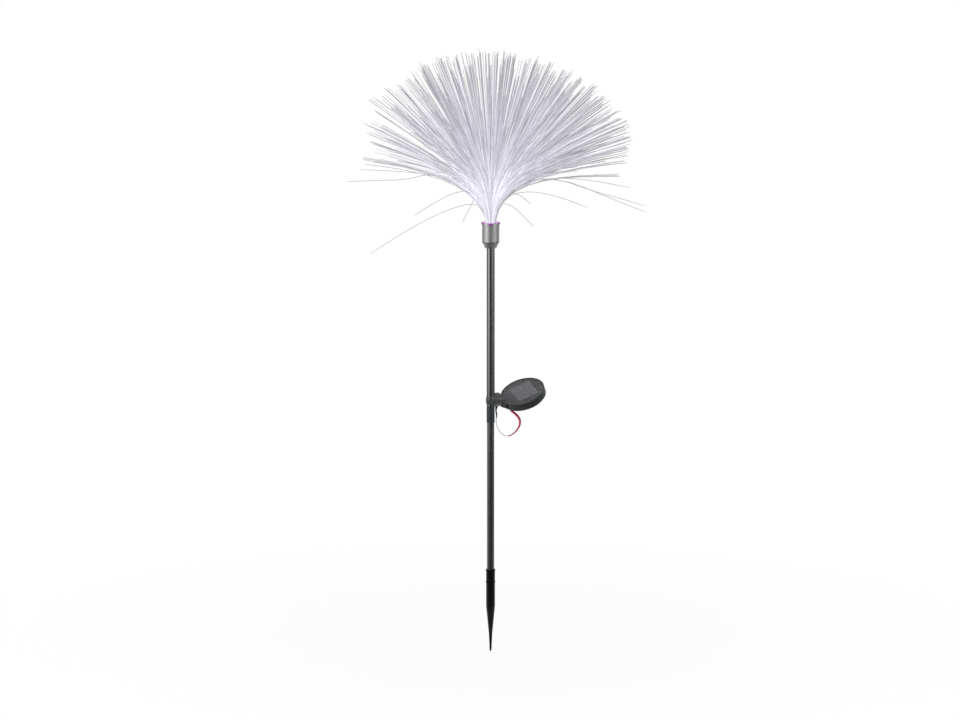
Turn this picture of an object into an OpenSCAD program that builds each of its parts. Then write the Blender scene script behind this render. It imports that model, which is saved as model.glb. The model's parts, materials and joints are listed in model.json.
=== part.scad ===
// Solar garden light: a plume of optical fibres on a pole, with a tilting solar panel and a ground spike.
// Millimetres, +Z up. The origin is on the pole's axis at the soil line, under the spike's stop ring.
// Seen from the front, along +Y, the panel is on the +X side.

/* [Ground spike] */
// Depth of the point below the soil line
spike_depth = 93; // [86:1:120]
// Outside diameter of the straight shank that goes into the soil
shank_d = 11.8; // [10.8:0.1:14]
// Length of the straight shank
shank_len = 32; // [20:1:36]
// How far the stop ring and the top lip stand proud of the shank
stop_proud = 0.4; // [0.2:0.1:2]
// Height of the stop ring
stop_h = 2.6; // [1:0.1:5]
// Height of the top lip
lip_h = 2.4; // [1:0.1:5]
// Height of the socket above the soil line
socket_h = 18.4; // [12:0.1:30]
// How deep the lower tube sits in the socket
socket_depth = 34; // [20:1:38]
// Diameter where the taper ends
taper_d = 4.8; // [4:0.1:7]
// Length of the taper below the shank
taper_len = 36; // [20:1:42]
// Width of the crossed blades below the taper
blade_w = 5; // [3:0.1:6]
// Thickness of a blade
blade_t = 1.4; // [0.8:0.1:2]
// Diameter of the rounded point
point_d = 2.2; // [2:0.1:4]

/* [Pole] */
// Outside diameter of the upper tube
upper_d = 10.8; // [10.2:0.1:12]
// Wall of the upper tube
upper_wall = 0.45; // [0.3:0.05:0.8]
// Length of the upper tube
upper_len = 218; // [120:1:300]
// Outside diameter of the lower tube
lower_d = 9.6; // [8.4:0.1:10]
// Wall of the lower tube
lower_wall = 0.5; // [0.3:0.05:0.8]
// Length of the lower tube
lower_len = 232; // [120:1:320]
// Length of the coupler's sleeve that shows between the tubes
sleeve_len = 22; // [10:1:40]
// Length of the coupler's plug inside the upper tube
plug_up = 30; // [20:1:60]
// Length of the coupler's plug inside the lower tube
plug_down = 25; // [10:1:60]
// Bore through the coupler for the lamp's lead
coupler_bore = 5.4; // [5:0.1:6]

/* [Lamp head] */
// Diameter of the cone's foot
cone_foot_d = 15; // [13.4:0.1:18]
// Height of the cone
cone_h = 8; // [7:0.1:14]
// How far the upper tube goes into the cone
cone_grip = 6.4; // [4:0.1:6.8]
// Height of the cone's spigot inside the cup
spigot_h = 4; // [2:0.1:6]
// Thickness of the seal under the cup
seal_t = 0.6; // [0.4:0.1:1.2]
// Outside diameter of the steel cup
cup_d = 22.8; // [21:0.1:26]
// Wall of the cup
cup_wall = 0.8; // [0.5:0.1:1.2]
// Height of the cup
cup_h = 25.2; // [22:0.1:32]
// How far the rolled rim stands proud of the cup
rim_proud = 1.1; // [0.4:0.1:1.5]
// Height of the rolled rim
rim_h = 2; // [1:0.1:2.5]
// Thickness of the lamp's circuit board
lamp_board_t = 1.4; // [0.8:0.1:2]
// Diameter of the lamp's dome
emitter_d = 5; // [3:0.1:6]
// Height of the reflector over the board
reflector_h = 8; // [7:0.1:9]
// Height of the glowing ring in the mouth of the cup
glow_h = 2.4; // [1.8:0.1:4]
// Radial width of the glowing ring
glow_w = 3; // [1.6:0.1:4]
// Number of light ports in the rim
port_count = 6; // [3:1:10]
// Width of a light port
port_w = 4.8; // [1.2:0.1:6]
// Height of a light port
port_h = 1.5; // [1:0.1:1.7]
// Height of the ledge that carries the fibre bundle
ledge_h = 1.5; // [0.8:0.1:3]
// Width of that ledge
ledge_w = 1.4; // [0.8:0.1:2.5]

/* [Fibre plume] */
// Rows of fibres from the middle of the bundle to its edge
fibre_rows = 18; // [12:1:18]
// Length of a fibre
fibre_len = 232; // [160:1:260]
// Share by which the shortest fibre is shorter
fibre_trim = 0.09; // [0:0.01:0.2]
// Thickness of a fibre
fibre_d = 0.8; // [0.5:0.1:0.9]
// Lean of the fibres at the edge of the dome
dome_angle = 77; // [50:1:82]
// Lean of the loose fibres at the edge of the bundle
loose_angle = 95; // [84:1:100]
// Lean of the few stray fibres that hang down
stray_angle = 118; // [102:1:128]
// Length over which a fibre bends outwards
bend_len = 50; // [30:1:60]
// How far the bundle's glued end stands above the rim
bundle_proud = 0.3; // [0:0.1:2]

/* [Bracket] */
// Height of the clip's middle above the foot of the upper tube
clip_up = 8; // [7:0.5:16]
// Height of the clip's ring
clip_h = 10.2; // [8:0.1:13]
// Wall of the clip's ring
clip_wall = 0.9; // [0.8:0.05:2]
// Radius of the bulge on the ring's outside
clip_bulge = 16; // [10:1:40]
// Direction of the arm about the pole, from +X towards +Y
arm_turn = 34.5; // [0:0.5:90]
// Roll of the neck about the arm
neck_roll = 11.5; // [-40:0.5:40]
// Lift of the panel's far edge
panel_lift = 26; // [0:0.5:45]
// Drop of the hinge below the arm
hinge_drop = 6.2; // [0:0.1:8]
// Diameter of the two roll discs
disc_d = 18; // [16:0.5:22]
// Thickness of the clip's roll disc
disc_t = 2; // [1.5:0.1:3]
// Thickness of the yoke's roll disc
yoke_t = 3.6; // [3.2:0.1:4.4]
// Height of the cheeks between the ring and the clip's disc, at the ring
cheek_h = 6.4; // [4:0.1:7.5]
// Diameter of the hub that carries the clip's disc
hub_d = 9.6; // [9.2:0.1:12]
// Diameter of the yoke's stud
stud_d = 6.4; // [5.6:0.1:7]
// How far the stud's snap bead stands proud
bead_proud = 0.4; // [0.2:0.1:0.6]
// Bore of the stud for the lead
lead_bore = 2.2; // [1.8:0.1:2.4]
// Thickness of a fork ear
ear_t = 3; // [2:0.1:4]
// Diameter of a fork ear
ear_d = 7.6; // [6.4:0.1:8.4]
// How far a fork ear reaches down the yoke's disc, below its width
ear_root = 1.8; // [0:0.1:2]
// Diameter of the hinge screw
pin_d = 3; // [2.4:0.1:3.4]
// Diameter of the hinge screw's head
head_d = 5.8; // [5:0.1:7]
// Height of the hinge screw's head
head_h = 1.8; // [1.2:0.1:3]
// Width of the hinge nut across its corners
nut_d = 6.35; // [6:0.05:7]
// Height of the hinge nut
nut_h = 2.4; // [1.6:0.1:3]
// Width of the wire block under the yoke
block_w = 4.4; // [4:0.1:6]
// Length of the wire block along the arm
block_len = 4; // [3.8:0.1:4.6]
// Drop of the wire block below the yoke's disc
block_drop = 0.8; // [0.4:0.1:2]
// Diameter of the wire boot at its top
boot_d = 3.6; // [3:0.1:3.8]
// Length of the wire boot
boot_len = 4; // [3:0.1:6]

/* [Solar panel] */
// Diameter of the panel's housing
panel_d = 60; // [58:1:72]
// Thickness of the panel
panel_t = 12; // [11.6:0.1:16]
// Drop of the panel's face below the hinge
panel_drop = 2.5; // [1:0.1:4]
// Distance from the hinge to the housing's rim
panel_reach = 5.2; // [5:0.1:9]
// Wall of the housing
case_wall = 1.8; // [1.4:0.1:2.4]
// Chamfer under the housing's rim
foot_chamfer = 2.4; // [0.4:0.1:2.6]
// Floor of the housing
floor_t = 2; // [1.8:0.1:3]
// Width of the panel's hinge lug
lug_w = 8; // [6:0.1:10]
// Diameter of the hinge lug
lug_d = 8; // [6.5:0.1:8.4]
// Height of the bezel
bezel_h = 2.8; // [2.6:0.1:3.4]
// Width of the bezel's face
bezel_w = 1.6; // [1.2:0.1:3]
// Width of the ledge inside the bezel
bezel_ledge = 6.4; // [6:0.1:8]
// Thickness of the ledge inside the bezel
ledge_t = 0.8; // [0.6:0.1:1]
// Thickness of the gasket under the bezel
gasket_t = 0.5; // [0.3:0.1:0.8]
// Thickness of the tray under the cell
tray_t = 1; // [0.8:0.1:1.2]
// Width of the solar cell, along the panel
cell_w = 29.6; // [20:0.1:32]
// Length of the solar cell, across the panel
cell_l = 35; // [20:0.1:36]
// Turn of the cell about the middle of the panel
cell_turn = -13; // [-30:1:30]
// Place of the cell along the panel, from its middle towards the far edge
cell_far = 2.2; // [0:0.1:2.4]
// Thickness of the solar cell
cell_t = 0.3; // [0.2:0.05:0.4]
// How far the window lies below the bezel's face
window_sink = 0.1; // [0.05:0.05:0.3]
// Distance of the screw posts from the housing's inner wall
post_inset = 1.2; // [0.6:0.1:2]
// Diameter of a screw post
post_d = 5.2; // [4:0.1:6]
// Angle between a screw post and the panel's long axis
post_turn = 65; // [60:1:70]
// Diameter of a housing screw
screw_d = 1.8; // [1.4:0.1:2.2]
// Diameter of a housing screw's head
screw_head_d = 3.6; // [3:0.1:4]
// Height of a housing screw's head
screw_head_h = 1.2; // [0.8:0.1:1.4]
// Length of a housing screw under its head
screw_len = 6; // [4:0.1:7]

/* [Electronics] */
// Width of the control board
board_w = 18; // [14:0.5:20]
// Length of the control board
board_l = 30; // [24:0.5:32]
// Thickness of the control board
board_t = 1.2; // [0.8:0.1:1.4]
// Gap between the control board and the middle of the housing
board_gap = 4; // [3:0.1:5]
// Height of the standoffs under the control board
standoff_h = 4.2; // [4:0.1:4.6]
// Diameter of a standoff
standoff_d = 3; // [2:0.1:4]
// Diameter of the battery
battery_d = 24.5; // [20:0.5:25]
// Height of the battery
battery_h = 5; // [3:0.1:5.4]
// Wall of the battery's holder
holder_wall = 1; // [0.6:0.1:1.2]
// Height of the battery's holder
holder_h = 4; // [2:0.1:5]
// Diameter of the power button
button_d = 6; // [4:0.1:7]
// How far the button stands out of the housing
button_proud = 1.2; // [1.1:0.1:2]
// Travel of the button
button_travel = 1; // [0.5:0.1:1]
// Flange of the button inside the housing, beyond its side
button_flange = 0.9; // [0.6:0.1:1.2]
// Thickness of that flange
flange_t = 0.6; // [0.4:0.1:0.8]
// Diameter of the button's stem
stem_d = 2; // [1.4:0.1:2.6]
// Side of the switch
switch_side = 6; // [5:0.1:7]
// Height of the switch
switch_h = 2.2; // [1.8:0.1:2.4]

/* [Solar lead] */
// Diameter of the lead's solid
lead_d = 2.6; // [1.4:0.1:2.8]
// Diameter of the panel's cable gland
gland_d = 5; // [4:0.1:6]
// Length of the cable gland below the housing
gland_len = 2.4; // [2:0.1:5]
// Place of the cable gland along the panel, from its middle towards the hinge
gland_back = 24; // [20:0.5:24.5]
// Place of the cable gland across the panel, towards the front
gland_side = 0; // [-8:0.5:8]
// Diameter of the lamp's lead inside the pole
lamp_lead_d = 2.2; // [1.4:0.1:2.4]

/* [Fits] */
// Radial clearance of a push fit
push_fit = 0.03; // [0.01:0.01:0.1]
// Radial clearance of a turning fit
turn_fit = 0.06; // [0.02:0.01:0.1]
// Clearance of a loose fit inside one body
slip_fit = 0.1; // [0.05:0.01:0.2]
// Gap between faces that turn or slide past each other
face_gap = 0.3; // [0.2:0.05:0.5]
// Gap between the end of a cord and its gland
cord_gap = 0.03; // [0.01:0.01:0.1]

/* [Hidden] */
$fn = 64;

// Overshoot of a cut past the face that it opens
cut = 1;
// Overlap that joins two solids of one piece
joint = 0.2;

// Heights up the pole
socket_z = socket_h - socket_depth;
sleeve_z = socket_z + lower_len;
upper_z = sleeve_z + sleeve_len;
upper_top = upper_z + upper_len;
cone_z = upper_top - cone_grip;
cone_top = cone_z + cone_h;
cup_z = cone_top + seal_t;
rim_z = cup_z + cup_h;
clip_z = upper_z + clip_up;

// Inside the lamp's head
cup_r = cup_d / 2;
cup_bore_r = cup_r - cup_wall;
inner_r = cup_bore_r - slip_fit;
bundle_r = inner_r - glow_w - slip_fit;
ledge_r = bundle_r - ledge_w;
lamp_board_z = cone_top + spigot_h;
reflector_z = lamp_board_z + lamp_board_t;
ferrule_z = reflector_z + reflector_h;
glow_z = rim_z - glow_h;
bundle_z = ferrule_z + ledge_h;
bundle_top = rim_z + bundle_proud;
lead_hole_r = lamp_lead_d / 2 + face_gap;
emitter_flange = 0.4;
emitter_flange_h = 1;
emitter_body_h = 2.5;

// Along the arm, from the pole's axis
pole_r = upper_d / 2;
clip_bore_r = pole_r + turn_fit;
clip_r = clip_bore_r + clip_wall;
disc_x = clip_r + face_gap;
yoke_x = disc_x + disc_t + face_gap;
yoke_face = yoke_x + yoke_t;
stud_x = clip_bore_r + face_gap;
bead_t = 0.8;
hinge_x = yoke_x + max(yoke_t, block_len) + lug_d / 2 + face_gap;
boot_x = yoke_x + yoke_t / 2;
port_r = lamp_lead_d / 2 + face_gap;
block_z = -disc_d / 2 - block_drop;
boot_z = block_z - boot_len;
boot_foot = 0.7;
ear_y = lug_w / 2 + face_gap;
ear_end = ear_y + ear_t;
screw_end = ear_end + nut_h + push_fit;
recess_w = 0.9;
recess_depth = 0.9;

// Inside the panel, with the hinge as origin, x towards the far edge and z out of the face
case_r = panel_d / 2;
case_inner_r = case_r - case_wall;
panel_x = panel_reach + case_r;
face_z = -panel_drop;
back_z = face_z - panel_t;
floor_z = back_z + floor_t;
bezel_z = face_z - bezel_h;
case_top = bezel_z - gasket_t;
window_r = case_r - bezel_w - slip_fit;
ledge_r_in = window_r - bezel_ledge;
tray_z = bezel_z + ledge_t;
cell_z = tray_z + tray_t;
window_top = face_z - window_sink;
guide_t = 1.2;
guide_h = 1.6;
post_at = case_inner_r - post_inset - post_d / 2;
post_angles = [post_turn, 180 - post_turn, 180 + post_turn, -post_turn];
board_z = floor_z + standoff_h;
board_x = -board_gap - board_w / 2;
standoff_inset = 2;
battery_x = battery_d / 2 + holder_wall + face_gap;
switch_z = board_z - switch_h;
button_r = button_d / 2;
flange_z = floor_z + slip_fit;
stem_top = switch_z + button_travel / 2;
gland_bore_r = lead_d / 2 + face_gap;
gland_foot = 1.4;

// Sides of a cord's solid, and the step round its bend in the pole
cord_sides = 8;
bend_step = 30;

// Turns of a point about the three axes
function turn_x(p, a) = [p.x, p.y * cos(a) - p.z * sin(a), p.y * sin(a) + p.z * cos(a)];
function turn_y(p, a) = [p.x * cos(a) + p.z * sin(a), p.y, p.z * cos(a) - p.x * sin(a)];
function turn_z(p, a) = [p.x * cos(a) - p.y * sin(a), p.x * sin(a) + p.y * cos(a), p.z];
function from_neck(p) = turn_z(turn_x(p, neck_roll), arm_turn) + [0, 0, clip_z];
function from_panel(p) = from_neck(turn_y(p, -panel_lift) + [hinge_x, 0, -hinge_drop]);
function unit(v) = v / norm(v);

module at_clip() {
  translate([0, 0, clip_z]) rotate([0, 0, arm_turn]) children();
}

module at_neck() {
  at_clip() rotate([neck_roll, 0, 0]) children();
}

module at_hinge() {
  at_neck() translate([hinge_x, 0, -hinge_drop]) rotate([0, -panel_lift, 0]) children();
}

module at_panel() {
  at_hinge() translate([panel_x, 0, 0]) children();
}

// A cylinder along +X
module rod_x(d, from, to) {
  translate([from, 0, 0]) rotate([0, 90, 0]) cylinder(d = d, h = to - from);
}

// A cylinder along +Y
module rod_y(d, from, to) {
  translate([0, from, 0]) rotate([-90, 0, 0]) cylinder(d = d, h = to - from);
}

// A cylinder along +Z
module rod_z(d, from, to) {
  translate([0, 0, from]) cylinder(d = d, h = to - from);
}

// A round tube along +Z
module pipe(d, wall, from, to) {
  difference() {
    rod_z(d, from, to);
    rod_z(d - 2 * wall, from - cut, to + cut);
  }
}

// A round cord swept along a route that lies roughly in a plane, with across as that plane's normal
function cord_way(route, i) = unit(route[min(i + 1, len(route) - 1)] - route[max(i - 1, 0)]);
function cord_ring(route, i, across, d) =
  let (way = cord_way(route, i), side = unit(cross(way, across)), up = cross(way, side))
  [for (j = [0 : cord_sides - 1])
    route[i] + d / 2 * (cos(360 * j / cord_sides) * side + sin(360 * j / cord_sides) * up)];

module cord(route, across, d) {
  last = len(route) - 1;
  n = cord_sides;
  polyhedron(
    points = [for (i = [0 : last]) each cord_ring(route, i, across, d)],
    faces = concat(
      [for (i = [0 : last - 1]) for (j = [0 : n - 1]) let (k = (j + 1) % n)
        each [[i * n + j, i * n + n + k, i * n + k], [i * n + j, i * n + n + j, i * n + n + k]]],
      [for (j = [1 : n - 2]) [0, j, j + 1]],
      [for (j = [1 : n - 2]) [last * n, last * n + j + 1, last * n + j]]
    )
  );
}

// Ground spike: socket, stop ring, shank and taper turned as one, with crossed blades to the point
module ground_spike() {
  shank_r = shank_d / 2;
  proud_r = shank_r + stop_proud;
  taper_z = -shank_len - taper_len;
  point_z = -spike_depth + point_d / 2;
  color("#1b1c1d") difference() {
    union() {
      rotate_extrude() polygon([
        [0, taper_z], [taper_d / 2, taper_z], [shank_r, -shank_len], [shank_r, 0], [proud_r, 0],
        [proud_r, stop_h], [shank_r, stop_h], [shank_r, socket_h - lip_h],
        [proud_r, socket_h - lip_h], [proud_r, socket_h], [0, socket_h]
      ]);
      for (a = [45, 135])
        rotate([90, 0, a]) linear_extrude(blade_t, center = true) polygon([
          [-blade_w / 2, taper_z + joint], [-point_d / 2, point_z],
          [point_d / 2, point_z], [blade_w / 2, taper_z + joint]
        ]);
      translate([0, 0, point_z]) sphere(d = point_d);
    }
    rod_z(lower_d + 2 * push_fit, socket_z, socket_h + cut);
  }
}

// Lower tube of the pole
module lower_tube() {
  color("#6f7376") pipe(lower_d, lower_wall, socket_z, sleeve_z);
}

// Coupler that plugs into both tubes, with a port for the lead
module tube_coupler() {
  color("#4a4f54") difference() {
    union() {
      rod_z(upper_d, sleeve_z, upper_z);
      rod_z(lower_d - 2 * lower_wall - 2 * push_fit, sleeve_z - plug_down, sleeve_z + joint);
      rod_z(upper_d - 2 * upper_wall - 2 * push_fit, upper_z - joint, upper_z + plug_up);
    }
    rod_z(coupler_bore, sleeve_z - plug_down - cut, upper_z + plug_up + cut);
    at_clip() rod_x(2 * port_r, 0, upper_d);
  }
}

// Upper tube of the pole, with the same port
module upper_tube() {
  color("#7c8083") difference() {
    pipe(upper_d, upper_wall, upper_z, upper_top);
    at_clip() rod_x(2 * port_r, 0, upper_d);
  }
}

// Lead inside the pole, from the port round a bend and up to the lamp's board
module lamp_lead() {
  bend_r = coupler_bore / 2 - lamp_lead_d / 2 + face_gap;
  bend = [for (a = [0 : bend_step : 90]) bend_r * [1 - sin(a), 0, 1 - cos(a)]];
  route = concat([[pole_r - face_gap, 0, 0]], bend, [[0, 0, lamp_board_z - clip_z]]);
  color("#8f2b2f") at_clip() cord(route, [0, 1, 0], lamp_lead_d);
}

// Cone between the pole and the cup
module cone_adapter() {
  grip_r = pole_r + push_fit;
  color("#3f4144") rotate_extrude() polygon([
    [grip_r, cone_z], [cone_foot_d / 2, cone_z], [cup_r, cone_top], [inner_r, cone_top],
    [inner_r, lamp_board_z], [lead_hole_r, lamp_board_z], [lead_hole_r, upper_top], [grip_r, upper_top]
  ]);
}

// Flat seal between the cone and the cup
module cup_seal() {
  color("#202020") pipe(cup_d, cup_wall, cone_top, cup_z);
}

// Steel cup with a rolled rim and a ring of light ports
module lamp_cup() {
  rim_r = cup_r + rim_proud;
  color("#c4c6c8") difference() {
    union() {
      pipe(cup_d, cup_wall, cup_z, rim_z);
      pipe(2 * rim_r, rim_proud + cup_wall, rim_z - rim_h, rim_z);
    }
    for (i = [0 : port_count - 1])
      rotate([0, 0, (i - 0.5) * 360 / port_count + 60])
        translate([bundle_r, -port_w / 2, rim_z - port_h]) cube([rim_r, port_w, port_h + cut]);
  }
}

// Round circuit board of the lamp, on the cone's spigot
module lamp_board() {
  color("#1f5a38") rod_z(2 * inner_r, lamp_board_z, reflector_z);
}

// Light source with a domed lens
module led_emitter() {
  body_z = reflector_z + emitter_flange_h + emitter_body_h;
  color("#e8e0ff") {
    rod_z(emitter_d + 2 * emitter_flange, reflector_z, reflector_z + emitter_flange_h);
    rod_z(emitter_d, reflector_z, body_z);
    translate([0, 0, body_z]) sphere(d = emitter_d);
  }
}

// Reflector that throws the light into the bundle
module led_reflector() {
  throat_r = emitter_d / 2 + emitter_flange + face_gap;
  color("#f2f2f2") rotate_extrude() polygon([
    [throat_r, reflector_z], [inner_r, reflector_z], [inner_r, ferrule_z], [ledge_r, ferrule_z],
    [throat_r, reflector_z + emitter_flange_h]
  ]);
}

// Ferrule that holds the glued end of the fibres
module fibre_ferrule() {
  color("#26282a") rotate_extrude() polygon([
    [ledge_r, ferrule_z], [inner_r, ferrule_z], [inner_r, glow_z], [bundle_r + slip_fit, glow_z],
    [bundle_r + slip_fit, bundle_z], [ledge_r, bundle_z]
  ]);
}

// Clear ring round the bundle, whose lugs light the ports in the rim
module glow_ring() {
  lug_r = cup_r + rim_proud - slip_fit;
  lug_side = port_w - 2 * slip_fit;
  color("#a23cc0") difference() {
    union() {
      rod_z(2 * inner_r, glow_z, rim_z);
      for (i = [0 : port_count - 1])
        rotate([0, 0, (i - 0.5) * 360 / port_count + 60])
          translate([bundle_r, -lug_side / 2, rim_z - port_h + slip_fit])
            cube([lug_r - bundle_r, lug_side, port_h - slip_fit]);
    }
    rod_z(2 * (bundle_r + slip_fit), glow_z - cut, rim_z + cut);
  }
}

// The bundle's top is a lattice of triangles in six sectors, drawn out to a disc.
// A place (q, r) on it counts steps along two lattice directions from the middle.
function row_of(q, r) = max(abs(q), abs(r), abs(q + r));
function row_start(q) = max(-fibre_rows, -q - fibre_rows);
function row_end(q) = min(fibre_rows, -q + fibre_rows);
function lattice_turn(q, r) = atan2(r * sqrt(3) / 2, q + r / 2);
function lattice_r(q, r) = bundle_r * row_of(q, r) / fibre_rows;
function lattice_xy(q, r) = lattice_r(q, r) * [cos(lattice_turn(q, r)), sin(lattice_turn(q, r))];

// Number of a place in the list of points, column by column
function column_start(c, n) = c <= n
  ? c * (n + 1) + c * (c - 1) / 2
  : n * (n + 1) + n * (n - 1) / 2 + (c - n) * (2 * n + 1) - (c - n) * (c - n - 1) / 2;
function place(q, r) = column_start(q + fibre_rows, fibre_rows) + r - row_start(q);
function on_disc(q, r) = row_of(q, r) <= fibre_rows;

// Lattice triangles, of which every third one that points up carries a fibre, so no two fibres share a corner
up_cells = [
  for (q = [-fibre_rows : fibre_rows - 1]) for (r = [row_start(q) : row_end(q)])
    if (on_disc(q + 1, r) && on_disc(q, r + 1)) [q, r]
];
down_cells = [
  for (q = [-fibre_rows - 1 : fibre_rows - 1]) for (r = [-fibre_rows - 1 : fibre_rows - 1])
    if (on_disc(q + 1, r) && on_disc(q + 1, r + 1) && on_disc(q, r + 1)) [q, r]
];
function carries(c) = (c[0] - c[1] + 3 * fibre_rows) % 3 == 0;
root_cells = [for (c = up_cells) if (carries(c)) c];
bare_cells = [for (c = up_cells) if (!carries(c)) c];
function corners(c) = [[c[0], c[1]], [c[0] + 1, c[1]], [c[0], c[1] + 1]];

// Rings of a fibre stand at these lengths from its root, and its tip is a point
ring_at = [18, 50, 110];
ring_count = len(ring_at);
fibre_points = 3 * ring_count + 1;
edge_share = 0.93;
stray_step = 11;
trims = rands(0, 1, len(root_cells), 7);

// Lean of a fibre well away from its root, by the root's share of the bundle's radius
function dome_lean(share) = 2 * asin(min(1, share / edge_share) * sin(dome_angle / 2));
function loose_lean(share) =
  dome_angle + (loose_angle - dome_angle) * (share - edge_share) / (1 - edge_share);
function far_lean(share, i) = share <= edge_share
  ? dome_lean(share)
  : share > (fibre_rows - 1) / fibre_rows && i % stray_step == 0 ? stray_angle : loose_lean(share);
function lean(far, s) = far * (1 - exp(-s / bend_len));

// Way out and up of a fibre from its root to its ring k
function reach(far, marks, k) = k == 0
  ? [0, 0]
  : reach(far, marks, k - 1)
    + (marks[k] - marks[k - 1]) * [sin(lean(far, (marks[k] + marks[k - 1]) / 2)),
                                   cos(lean(far, (marks[k] + marks[k - 1]) / 2))];

function fibre(i) =
  let (
    spots = [for (c = corners(root_cells[i])) lattice_xy(c[0], c[1])],
    root = (spots[0] + spots[1] + spots[2]) / 3,
    turn = atan2(root.y, root.x),
    far = far_lean(norm(root) / bundle_r, i),
    tip_at = fibre_len * (1 - fibre_trim * trims[i]) * (far >= stray_angle ? 0.85 : 1),
    marks = concat([0], ring_at, [tip_at]),
    sides = [for (p = spots) atan2((p - root).y, (p - root).x) - turn],
    rings = [
      for (k = [1 : ring_count]) let (w = reach(far, marks, k), a = lean(far, marks[k])) for (b = sides)
        turn_z([norm(root) + w[0] + fibre_d / 2 * cos(b) * cos(a),
                fibre_d / 2 * sin(b),
                bundle_top + w[1] - fibre_d / 2 * cos(b) * sin(a)], turn)
    ],
    end = reach(far, marks, ring_count + 1)
  )
  concat(rings, [turn_z([norm(root) + end[0], 0, bundle_top + end[1]], turn)]);

function fibre_faces(i, first) =
  let (
    base = [for (c = corners(root_cells[i])) place(c[0], c[1])],
    ids = concat([base], [for (k = [0 : ring_count - 1]) [for (j = [0 : 2]) first + 3 * k + j]]),
    tip = first + 3 * ring_count
  )
  concat(
    [for (k = [0 : ring_count - 1]) for (j = [0 : 2]) let (n = (j + 1) % 3)
      each [[ids[k][j], ids[k + 1][j], ids[k + 1][n]], [ids[k][j], ids[k + 1][n], ids[k][n]]]],
    [for (j = [0 : 2]) [ids[ring_count][j], tip, ids[ring_count][(j + 1) % 3]]]
  );

// Plume of fibres, fused to the glued end of their bundle
module fibre_plume() {
  n = fibre_rows;
  top = [for (q = [-n : n]) for (r = [row_start(q) : row_end(q)]) concat(lattice_xy(q, r), bundle_top)];
  hex = [[n, 0], [0, n], [-n, n], [-n, 0], [0, -n], [n, -n]];
  edge = [for (s = [0 : 5]) for (t = [0 : n - 1]) hex[s] + (hex[(s + 1) % 6] - hex[s]) * t / n];
  foot = [for (e = edge) concat(lattice_xy(e[0], e[1]), bundle_z)];
  hub = len(top) + len(foot);
  first = hub + 1;
  rim = [for (e = edge) place(e[0], e[1])];
  side_count = len(edge);
  color("#d6d3e6") polyhedron(
    points = concat(top, foot, [[0, 0, bundle_z]], [for (i = [0 : len(root_cells) - 1]) each fibre(i)]),
    faces = concat(
      [for (c = bare_cells) [place(c[0], c[1]), place(c[0], c[1] + 1), place(c[0] + 1, c[1])]],
      [for (c = down_cells) [place(c[0] + 1, c[1]), place(c[0], c[1] + 1), place(c[0] + 1, c[1] + 1)]],
      [for (i = [0 : side_count - 1]) let (j = (i + 1) % side_count)
        each [[rim[i], rim[j], len(top) + j], [rim[i], len(top) + j, len(top) + i],
              [len(top) + i, len(top) + j, hub]]],
      [for (i = [0 : len(root_cells) - 1]) each fibre_faces(i, first + i * fibre_points)]
    )
  );
}

// Clip: a ring that turns on the pole, and a hub and cheeks with a roll disc
module pole_clip() {
  color("#35383a") at_clip() difference() {
    union() {
      rotate_extrude() intersection() {
        translate([clip_bore_r - clip_wall, -clip_h / 2]) square([2 * clip_wall, clip_h]);
        translate([clip_r - clip_bulge, 0]) circle(r = clip_bulge);
      }
      rod_x(hub_d, clip_bore_r, disc_x + joint);
      hull() {
        rod_z(2 * clip_bore_r + clip_wall, -cheek_h / 2, cheek_h / 2);
        rod_x(disc_d, disc_x, disc_x + disc_t);
      }
    }
    rod_z(2 * clip_bore_r, -clip_h, clip_h);
    rod_x(stud_d + 2 * turn_fit, 0, yoke_x + cut);
    rod_x(stud_d + 2 * bead_proud + 2 * turn_fit, 0, stud_x + bead_t + face_gap);
  }
}

// Yoke: a roll disc with a hollow snap stud, two ears for the hinge and a block for the wire
module neck_yoke() {
  color("#2e3133") at_neck() difference() {
    union() {
      rod_x(disc_d, yoke_x, yoke_face);
      rod_x(stud_d, stud_x, yoke_x + joint);
      rod_x(stud_d + 2 * bead_proud, stud_x, stud_x + bead_t);
      for (s = [-1, 1])
        translate([0, s * (ear_y + ear_t / 2), 0]) rotate([90, 0, 0])
          linear_extrude(ear_t, center = true) hull() {
            translate([hinge_x, -hinge_drop]) circle(d = ear_d);
            translate([yoke_face - joint, -ear_d / 2 - ear_root]) square([joint, ear_d + ear_root]);
          }
      translate([yoke_x, -block_w / 2, block_z]) cube([block_len, block_w, block_drop + disc_d / 4]);
    }
    translate([hinge_x, 0, -hinge_drop]) rod_y(pin_d + 2 * push_fit, -ear_end - cut, ear_end + cut);
    rod_x(lead_bore, 0, boot_x);
    translate([boot_x, 0, 0]) rod_z(lead_bore, block_z - cut, 0);
  }
}

// Hinge screw with a cross recess in its head
module hinge_screw() {
  recess_len = head_d * 0.6;
  color("#9a9c9e") at_neck() translate([hinge_x, 0, -hinge_drop]) difference() {
    union() {
      rod_y(pin_d, -ear_end, screw_end + push_fit);
      rod_y(head_d, -ear_end - head_h, -ear_end);
    }
    for (a = [0, 90])
      rotate([0, a, 0]) translate([-recess_len / 2, -ear_end - head_h - cut, -recess_w / 2])
        cube([recess_len, recess_depth + cut, recess_w]);
  }
}

// Hexagon nut on the hinge screw
module hinge_nut() {
  color("#a9abad") at_neck() translate([hinge_x, 0, -hinge_drop]) difference() {
    translate([0, ear_end, 0]) rotate([-90, 0, 0]) cylinder(d = nut_d, h = nut_h, $fn = 6);
    rod_y(pin_d + 2 * push_fit, 0, screw_end + cut);
  }
}

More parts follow.
